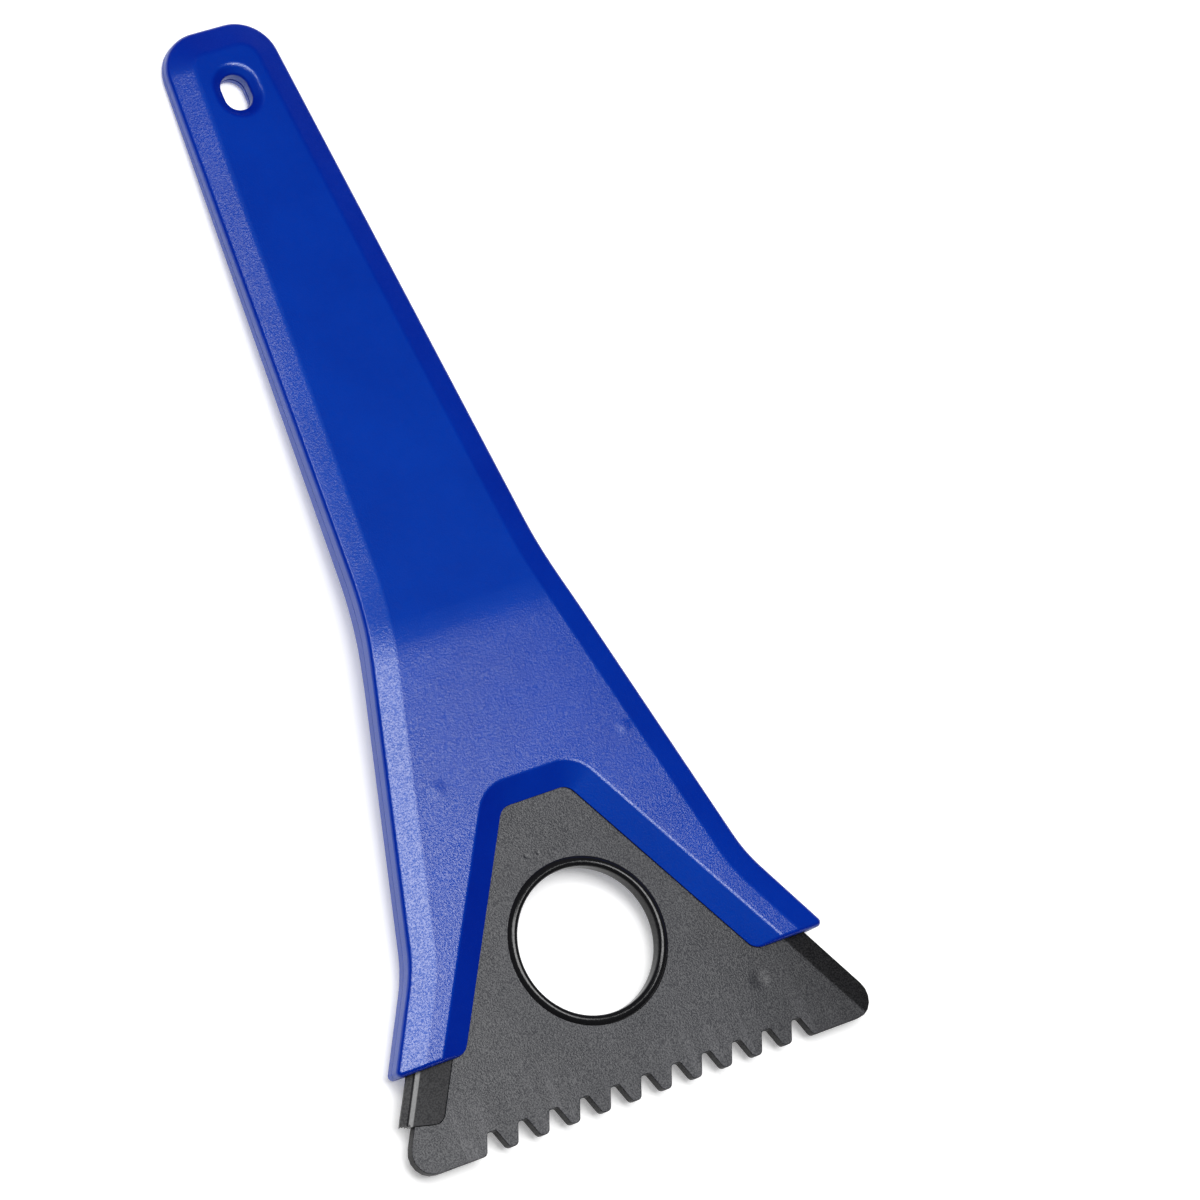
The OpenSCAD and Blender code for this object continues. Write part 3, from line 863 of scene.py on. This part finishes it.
def rear_cover():
    s = Solid()
    out = outer_path()
    rails = [cover_rail(p, nrm) for p, nrm in out]
    s.sheet(rails)
    inner = densify(notch_path(channel=True) + [(p, nrm) for p, nrm, _ in arm_tip()], LONGEST)
    inner_rails = [cover_notch_rail(p, nrm) for p, nrm in inner]
    s.sheet(inner_rails)
    # end of the arm
    k = len(GROOVE)
    foot, end_rim = rails[0][:k], rails[0][k:]
    foot_in = [(pocket_x(y), y, z) for _, y, z in foot]
    s.rows(foot, foot_in)
    s.rows(inner_rails[-1][1:], end_rim)
    s.face([end_rim[0], inner_rails[-1][1], inner_rails[-1][0], (pocket_x(FORK_END), FORK_END, -POCKET_Z),
            foot_in[-1], foot[-1]])
    # back faces, and the slot through them
    flat, bend, steep = split_at_bend([r[-1] for r in rails], out, COVER_BEND)
    s.face([r[-1] for r in inner_rails] + flat + to_middle(flat[-1:]))
    s.rows(bend, to_middle(bend))
    lip = 0.5
    rings = [slot_ring_on(COVER_BEND, COVER_Z, grow=lip),
             slot_ring_on(COVER_BEND, COVER_Z, grow=0.24 * lip, lift=0.3 * lip),
             slot_ring_on(COVER_BEND, COVER_Z, lift=lip),
             slot_ring_on(SEAM_BEND, SEAM_Z, lift=-SLOT_GROOVE),
             slot_ring_on(SEAM_BEND, SEAM_Z, grow=SLOT_GROOVE)]
    s.face(steep + rings[0] + to_middle(steep[:1]))
    s.sheet(rings)
    parting_faces(s, [r[0] for r in rails], out, rings[-1])
    pocket_faces(s, -POCKET_Z, [r[0] for r in reversed(inner_rails)], foot_in[::-1])
    s.mirrored(0)
    return s.build("rear_cover_skin", BLUE)


# -------------------- head
def unit(angle):
    return Vector((math.cos(math.radians(angle)), math.sin(math.radians(angle))))


def meet(a, da, b, db):
    """Where two straight edges meet, from the directions they face and their distances."""
    a, b = math.radians(a), math.radians(b)
    k = math.sin(b - a)
    return ((da * math.sin(b) - db * math.sin(a)) / k, (db * math.cos(a) - da * math.cos(b)) / k)


# the directions that the head's three edges face
SCRAPE_A, RUBBER_A, TEETH_A = 30, 150, 270
SCRAPE_N, RUBBER_N = unit(SCRAPE_A), unit(RUBBER_A)
RUBBER_T = Vector((-RUBBER_N.y, RUBBER_N.x))
SEAT_TOP, SEAT_LOW = RUBBER_OFF - RUBBER_LEN / 2, RUBBER_OFF + RUBBER_LEN / 2
# the plate's face is cut in two along this x, which misses all corners, and ends in a point under the fork
SPLIT_X = -2.5
TURN_POINT = (1.2, 57.5, HALF_T)


def from_rubber(x, y):
    """Point x outwards from the plate's rubber edge and y along it, towards the teeth."""
    return RUBBER_N * (RUBBER_D + x) + RUBBER_T * y


def panel_path(start, lap, top, low):
    """The rubber panel's outline on the plate, from its lower end round its inner edge to its upper end."""
    corners = [(*from_rubber(start, low), 0), (*from_rubber(-lap, low - RUBBER_SKEW), RUBBER_R),
               (*from_rubber(-lap, top), RUBBER_R), (*from_rubber(start, top), 0)]
    return round_path(corners, closed=False, n=8)


def away(p, nrm, centre):
    """The normal, turned so that it points away from the centre."""
    return nrm if (p + nrm - centre).length > (p - nrm - centre).length else -nrm


def at_height(row, z):
    return [(q[0], q[1], z) for q in row]


def plate_path():
    right = meet(TEETH_A, EDGE_D, SCRAPE_A, EDGE_D)
    top = meet(SCRAPE_A, EDGE_D, RUBBER_A, RUBBER_D)
    left = meet(RUBBER_A, RUBBER_D, TEETH_A, EDGE_D)
    corners = [(*corner, CORNER_R) for corner in (right, top, left)]
    low, high = -EDGE_D, -EDGE_D + GAP_DEPTH
    for i in range(GAPS):
        x = (right[0] + left[0]) / 2 + (i - (GAPS - 1) / 2) * PITCH
        corners += [(x - GAP_MOUTH / 2, low, TOOTH_R), (x - GAP_FLOOR / 2, high, GAP_R),
                    (x + GAP_FLOOR / 2, high, GAP_R), (x + GAP_MOUTH / 2, low, TOOTH_R)]
    return round_path(corners, n=6)


def scrape_d(p):
    """Distance in from the scraping edge."""
    return EDGE_D - p.dot(SCRAPE_N)


def plate_top(p):
    """Height of the plate's face: flat, then thinned towards the scraping edge."""
    rise = (HALF_T - EDGE_HALF) / BEVEL_W
    return HALF_T - rise * soft(BEVEL_W - scrape_d(p), BEVEL_SOFT)


def with_seat(path):
    """The outline with the ends of the rubber's seat added, and starting at the seat's lower end."""
    upper, lower = [(from_rubber(0.0, y), RUBBER_N.copy()) for y in (SEAT_TOP, SEAT_LOW)]
    for i, (p, nrm) in enumerate(path):
        q, nq = path[(i + 1) % len(path)]
        on_edge = max((nrm - RUBBER_N).length, (nq - RUBBER_N).length) < 1e-3
        if on_edge and (q - p).length > RUBBER_LEN / 2:
            return [lower] + path[i + 1:] + path[:i + 1] + [upper]


def plate_rail(p, nrm):
    """The rounded edge of the plate, from its face down to its middle."""
    z = plate_top(p - nrm * PLATE_RIM)
    radius = PLATE_RIM if z > 0.6 else THIN_RIM
    return rim(p, nrm, radius, math.pi / 2, z) + [(p.x, p.y, 0.0)]


def plate_edge(s, rails):
    """The plate's edge all round, except over the tongue in the rubber."""
    for i, (a, b) in enumerate(zip(rails, rails[1:])):
        s.rows(a[:-1], b[:-1])
        low = [a[-1], b[-1], b[-2], a[-2]]
        if i == 0:
            low += at_height(a[-1:], TONGUE)
        if i == len(rails) - 2:
            low[2:2] = at_height(b[-1:], TONGUE)
        s.face(low)


def seat_faces(s, first, last):
    """The rubber's seat: its wall, floor and the tongue's edge. Returns the wall's top line.

    The wall's top is a little wider, so that a fine line shows round the rubber.
    """
    gap, drop = 0.08, 0.1
    wall = panel_path(0.0, RUBBER_LAP, SEAT_TOP, SEAT_LOW)[1:-1]
    centre = from_rubber(-RUBBER_LAP / 2, 0.0)
    back = [inset(p, -away(p, nrm, centre), gap, HALF_T) for p, nrm in wall]
    line = [(p.x, p.y, HALF_T - drop) for p, _ in wall]
    floor_line = at_height(line, TONGUE)
    s.sheet([back, line, floor_line])
    # the wall's ends, between the plate's rim and the rounded corners
    ends = at_height([first[-1], last[-1]], TONGUE)
    s.face(first[:-1] + [ends[0], floor_line[0], line[0], back[0]])
    s.face(last[:-1] + [ends[1], floor_line[-1], line[-1], back[-1]])
    s.face(floor_line + ends[::-1])
    s.face(ends + [last[-1], first[-1]])
    return back


def hole_arc(first, sweep, steps=48):
    turns = [first + sweep * i / steps for i in range(steps + 1)]
    return [(PLATE_HOLE_R * math.sin(a), PLATE_HOLE_R * math.cos(a), HALF_T) for a in turns]


def plate_faces(s, path, ring, seat, levels):
    """The plate's face, cut at SPLIT_X round the finger hole and at the crease of the scraping edge."""
    cut = [i for i, (p, _) in enumerate(path) if abs(p.x - SPLIT_X) < 1e-4]
    low, top = cut[0], cut[-1]
    crossings = []
    for level in levels:
        hit = [i for i in range(low, top + 1) if abs(scrape_d(path[i][0]) - level) < 2e-3]
        crossings.append((hit[0], hit[-1]))
    (a0, a1), (b0, b1), (c0, c1) = crossings
    split = math.asin(SPLIT_X / PLATE_HOLE_R)
    right_hole = hole_arc(split, math.pi - 2 * split)
    left_hole = hole_arc(split, -math.pi - 2 * split)
    s.face(ring[low:a0 + 1] + ring[a1:top + 1] + [TURN_POINT] + right_hole)
    s.face(ring[a0:b0 + 1] + ring[b1:a1 + 1])
    s.face(ring[b0:c0 + 1] + ring[c1:b1 + 1])
    s.face(ring[c0:c1 + 1])
    s.face(ring[top:] + seat[::-1] + ring[:low + 1] + left_hole[::-1] + [TURN_POINT])
    for arc in (right_hole, left_hole):
        s.rows(arc, at_height(arc, 0.0))


def head_plate():
    s = Solid()
    levels = [BEVEL_W + BEVEL_SOFT, BEVEL_W, BEVEL_W - BEVEL_SOFT]
    path = put_crossings(plate_path(), lambda p: p.x, [SPLIT_X])
    path = with_seat(put_crossings(path, scrape_d, levels))
    rails = [plate_rail(p, nrm) for p, nrm in path]
    plate_edge(s, rails)
    seat = seat_faces(s, rails[0], rails[-1])
    plate_faces(s, path, [r[0] for r in rails], seat, levels)
    s.mirrored(2)
    return s.build("head_plate_body", CHARCOAL)


def collar():
    """The rounded collar of the finger hole."""
    s = Solid()
    # radius and height, from the foot over the crown into the hole
    half = [(18.32, HALF_T), (COLLAR_R, HALF_T), (19.42, 1.6), (19.2, 1.78), (18.95, 1.98), (18.7, 2.14),
            (18.4, 2.25), (18.1, 2.28), (17.8, 2.24), (17.5, 2.1), (17.28, 1.9), (17.15, 1.65),
            (HOLE_R, 1.35), (HOLE_R, 0.5)]
    s.lathe(half + [(r, -z) for r, z in reversed(half)], 160)
    return s.build("finger_collar", GLOSSY, sharp=50)


def peg(name, angle, slit):
    """Split snap peg on the back of the plate: its foot, neck and rounded head, and the slit through it."""
    s = Solid()
    neck, head, half_slit, steps = 2.1, 2.75, 0.42, 20
    end = -HALF_T - PEG_H
    profile = [(neck + 0.35, -HALF_T + 0.1), (neck + 0.35, -HALF_T - 0.02), (neck + 0.1, -HALF_T - 0.12),
               (neck, -HALF_T - 0.4), (neck, end + 1.75), (neck + 0.15, end + 1.6), (head - 0.15, end + 1.5),
               (head, end + 1.3), (head, end + 0.95), (head - 0.12, end + 0.6), (head - 0.4, end + 0.25),
               (head - 0.75, end + 0.06), (head - 1.2, end)]
    centre = unit(angle) * PEG_RING
    for side in (0, 180):
        turn = math.radians(angle + slit + side)
        rings = []
        for r, z in profile:
            a0 = turn + math.asin(half_slit / r)
            sweep = math.pi - 2 * math.asin(half_slit / r)
            turns = [a0 + sweep * i / steps for i in range(steps + 1)]
            rings.append([(centre.x + r * math.cos(a), centre.y + r * math.sin(a), z) for a in turns])
        s.sheet(rings, closed=True)
        s.face(rings[0])
        s.face(rings[-1])
    return s.build(name, GLOSSY, sharp=35)


# -------------------- rubber
# torn flash at the lip's two ends: distance out from the plate's edge, length past the rubber's end
FLASH_LOW = ((0.3, 0.0), (0.8, 0.25), (1.15, -0.35), (1.5, 0.3), (1.9, -0.1), (2.35, 0.45), (2.7, 0.1),
             (LIP_W, 0.75))
FLASH_TOP = ((0.3, -0.1), (0.4, -0.1), (0.9, 0.3), (1.3, -0.2), (1.75, 0.35), (2.2, 0.1), (2.6, -0.3),
             (LIP_W, -0.65))
# the lip's profile: where it leaves the plate's edge, and its step down
LIP_START, STEP_START, STEP_END = 0.3, 1.45, 1.75
LIP_SLOPE, STEP_Z, TIP_Z = 0.23, 0.84, 0.5
LIP_XS = [0.3, 0.4, 0.65, 0.9, 1.2, 1.38, 1.45, 1.52, 1.68, 1.75, 1.82, 2.1, 2.5, LIP_W]
RUBBER_TOP = HALF_T - 0.02
PLAY = 0.05


def between(table, x):
    """The value at x on the straight runs between the table's points."""
    for (x0, v0), (x1, v1) in zip(table, table[1:]):
        if x <= x1:
            return v0 + (v1 - v0) * (x - x0) / (x1 - x0)


LIP_PROFILE = ((LIP_START, RUBBER_TOP), (STEP_START, RUBBER_TOP - (STEP_START - LIP_START) * LIP_SLOPE),
               (STEP_END, STEP_Z), (LIP_W, TIP_Z))


def lip_wave(x, t):
    """The lip is cut by hand and never quite straight: its drift at x, t of the way along."""
    if x < 1.6:
        return 0.0
    return 0.07 * (math.sin(t * 17.0) + 0.6 * math.sin(t * 41.0 + 1.0)) * (x - 1.5) / 1.6


def lip_lines(top, low, steps=48):
    """Lines along the lip, from the plate's edge outwards."""
    lines = []
    for x in sorted(set(LIP_XS + [x for x, _ in FLASH_LOW + FLASH_TOP])):
        start, end = low + between(FLASH_LOW, x), top + between(FLASH_TOP, x)
        back = PLAY if x >= LIP_W else 0.0
        line = []
        for i in range(steps + 1):
            t = i / steps
            drift = lip_wave(x, t) if 0 < i < steps else 0.0
            p = from_rubber(x + drift - back, start + (end - start) * t)
            line.append((p.x, p.y, between(LIP_PROFILE, x)))
        lines.append(line)
    return lines


def panel_rails(top, low, edge):
    """The panel's inner outline with its rounded corners: a fine rim, and the wall down to the tongue."""
    lap, radius = RUBBER_LAP - PLAY, 0.14
    path = panel_path(LIP_START, lap, top, low)
    centre = from_rubber(-lap / 2, 0.0)
    heights = (RUBBER_TOP, RUBBER_TOP - 0.045, RUBBER_TOP - radius, TONGUE)
    rails = []
    for p, nrm in path:
        out = away(p, nrm, centre)
        rails.append([inset(p, out, d, z) for d, z in zip((radius, radius * 0.3, 0.0, 0.0), heights)])
    # at both ends the panel runs on into the lip
    for i, q in ((0, edge[0]), (-1, edge[-1])):
        rails[i] = [(q[0], q[1], z) for z in heights]
    return rails


def rubber():
    """Rubber blade: a flush panel round the plate's edge, a step, and the lip."""
    s = Solid()
    top, low = SEAT_TOP + PLAY, SEAT_LOW - PLAY
    lines = lip_lines(top, low)
    s.sheet(lines)
    tip = [[(q[0] + RUBBER_N.x * d, q[1] + RUBBER_N.y * d, z) for q in lines[-1]]
           for d, z in ((0.0, TIP_Z), (0.04, 0.38), (0.05, 0.2), (0.05, 0.0))]
    s.sheet(tip)
    rails = panel_rails(top, low, lines[0])
    s.sheet(rails)
    s.face([r[0] for r in rails] + lines[0][::-1][1:-1])
    # underside against the tongue, and the tongue's edge
    under = [r[-1] for r in rails]
    corners = [(p.x, p.y, TONGUE) for p in (from_rubber(0.02, low), from_rubber(0.02, top))]
    middles = at_height(corners, 0.0)
    s.face(under[1:-1] + corners[::-1])
    s.face(corners + middles[::-1])
    s.face([under[0], under[1], corners[0]])
    s.face([under[-1], under[-2], corners[1]])
    # the two ends of the lip
    for end in (0, -1):
        top_line = [line[end] for line in lines]
        floor_line = at_height(top_line, 0.0)
        s.rows(top_line, floor_line)
        s.face([line[end] for line in tip] + [floor_line[-1]])
        s.face([top_line[0], floor_line[0], middles[end], corners[end]] + rails[end][:0:-1])
    s.mirrored(2)
    return s.build("rubber_squeegee", RUBBER, sharp=30)


# -------------------- the pieces and the bodies they ride on
shell = front_shell()
cover = rear_cover()
plate = head_plate()
ring = collar()
PEGS = ((90, 30, "snap_peg_top"), (210, -30, "snap_peg_left"), (330, 0, "snap_peg_right"))
pegs = [peg(name, angle, slit) for angle, slit, name in PEGS]
blade = rubber()

for piece, body, node, finish in (
        (shell, "handle", "front_shell", "blue_plastic"), (cover, "handle", "rear_cover", "blue_plastic"),
        (plate, "head", "head_plate", "black_plastic"), (blade, "head", "rubber_blade", "black_rubber")):
    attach(piece, body)
    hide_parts(node)
for piece in [ring] + pegs:
    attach(piece, "head")

# -------------------- floor and surroundings
FLOOR_HALF, FLOOR_DROP = 3.0, 0.0002
FLOOR_TONE, FLOOR_ROUGH, FLOOR_GLOW = 0.95, 0.85, 0.28
floor_mesh = bpy.data.meshes.new("floor")
bm = bmesh.new()
bmesh.ops.create_grid(bm, x_segments=8, y_segments=8, size=FLOOR_HALF)
bm.to_mesh(floor_mesh)
bm.free()
floor = add_object("floor", floor_mesh)
floor.location.z = -FLOOR_DROP
floor_mat, _, floor_bsdf = new_material("pale_floor")
floor_bsdf.inputs["Base Color"].default_value = (*grey(FLOOR_TONE), 1)
floor_bsdf.inputs["Roughness"].default_value = FLOOR_ROUGH
floor_bsdf.inputs["Emission Color"].default_value = (1, 1, 1, 1)
floor_bsdf.inputs["Emission Strength"].default_value = FLOOR_GLOW
floor_mesh.materials.append(floor_mat)

# the surroundings are white to the camera and almost dark to the part
WORLD_SHADE, WORLD_SEEN = 0.018, 0.97
world = bpy.data.worlds.new("studio")
bpy.context.scene.world = world
world.use_nodes = True
world_nt = world.node_tree
background = world_nt.nodes["Background"]
background.inputs["Color"].default_value = (1, 1, 1, 1)
light_path = world_nt.nodes.new("ShaderNodeLightPath")
strength = world_nt.nodes.new("ShaderNodeMapRange")
strength.inputs["To Min"].default_value = WORLD_SHADE
strength.inputs["To Max"].default_value = WORLD_SEEN
world_nt.links.new(light_path.outputs["Is Camera Ray"], strength.inputs["Value"])
world_nt.links.new(strength.outputs["Result"], background.inputs["Strength"])


# -------------------- light
def softbox(name, at, along, width, length, power):
    """A rectangular light over the part, facing straight down, its length along a direction (mm)."""
    lamp = bpy.data.lights.new(name, "AREA")
    lamp.shape = "RECTANGLE"
    lamp.size, lamp.size_y = width * MM, length * MM
    lamp.energy = power
    obj = add_object(name, lamp)
    y = (TURN @ Vector((*along, 0.0))).normalized()
    z = TURN @ Vector((0, 0, 1))
    m = Matrix((y.cross(z), y, z)).transposed().to_4x4()
    m.translation = place(*at)
    obj.matrix_world = m
    return obj


# mirrored by the fork, by the grip's left flank, and (not mirrored at all) a large weak fill
softbox("overhead_softbox", (69.0, 79.0, 1500.0), (0.862, -0.507), 720.0, 1065.0, 15.2)
softbox("side_softbox", (-405.0, 690.0, 1500.0), (1.0, 0.0), 450.0, 450.0, 3.0)
fill = softbox("bounce_fill", (-900.0, 1500.0, 3000.0), (1.0, 0.0), 4000.0, 4000.0, 91.5)
fill.visible_glossy = False

# -------------------- camera
CAMERA_AT = (-573.309, -64.519, 1277.085)
CAMERA_AIM = (33.8, 72.6, 0.0)
CAMERA_UP = (0.28371, 0.92974, 0.23470)
LENS, SENSOR = 186.0, 36.0
cam = bpy.data.cameras.new("camera")
cam.lens = LENS
cam.sensor_width = SENSOR
cam_obj = add_object("camera", cam)
eye, aim = place(*CAMERA_AT), place(*CAMERA_AIM)
forward = (aim - eye).normalized()
right = forward.cross(TURN @ Vector(CAMERA_UP)).normalized()
up = right.cross(forward)
basis = Matrix((right, up, -forward)).transposed().to_4x4()
basis.translation = eye
cam_obj.matrix_world = basis
bpy.context.scene.camera = cam_obj
bpy.context.scene.view_settings.view_transform = "Standard"
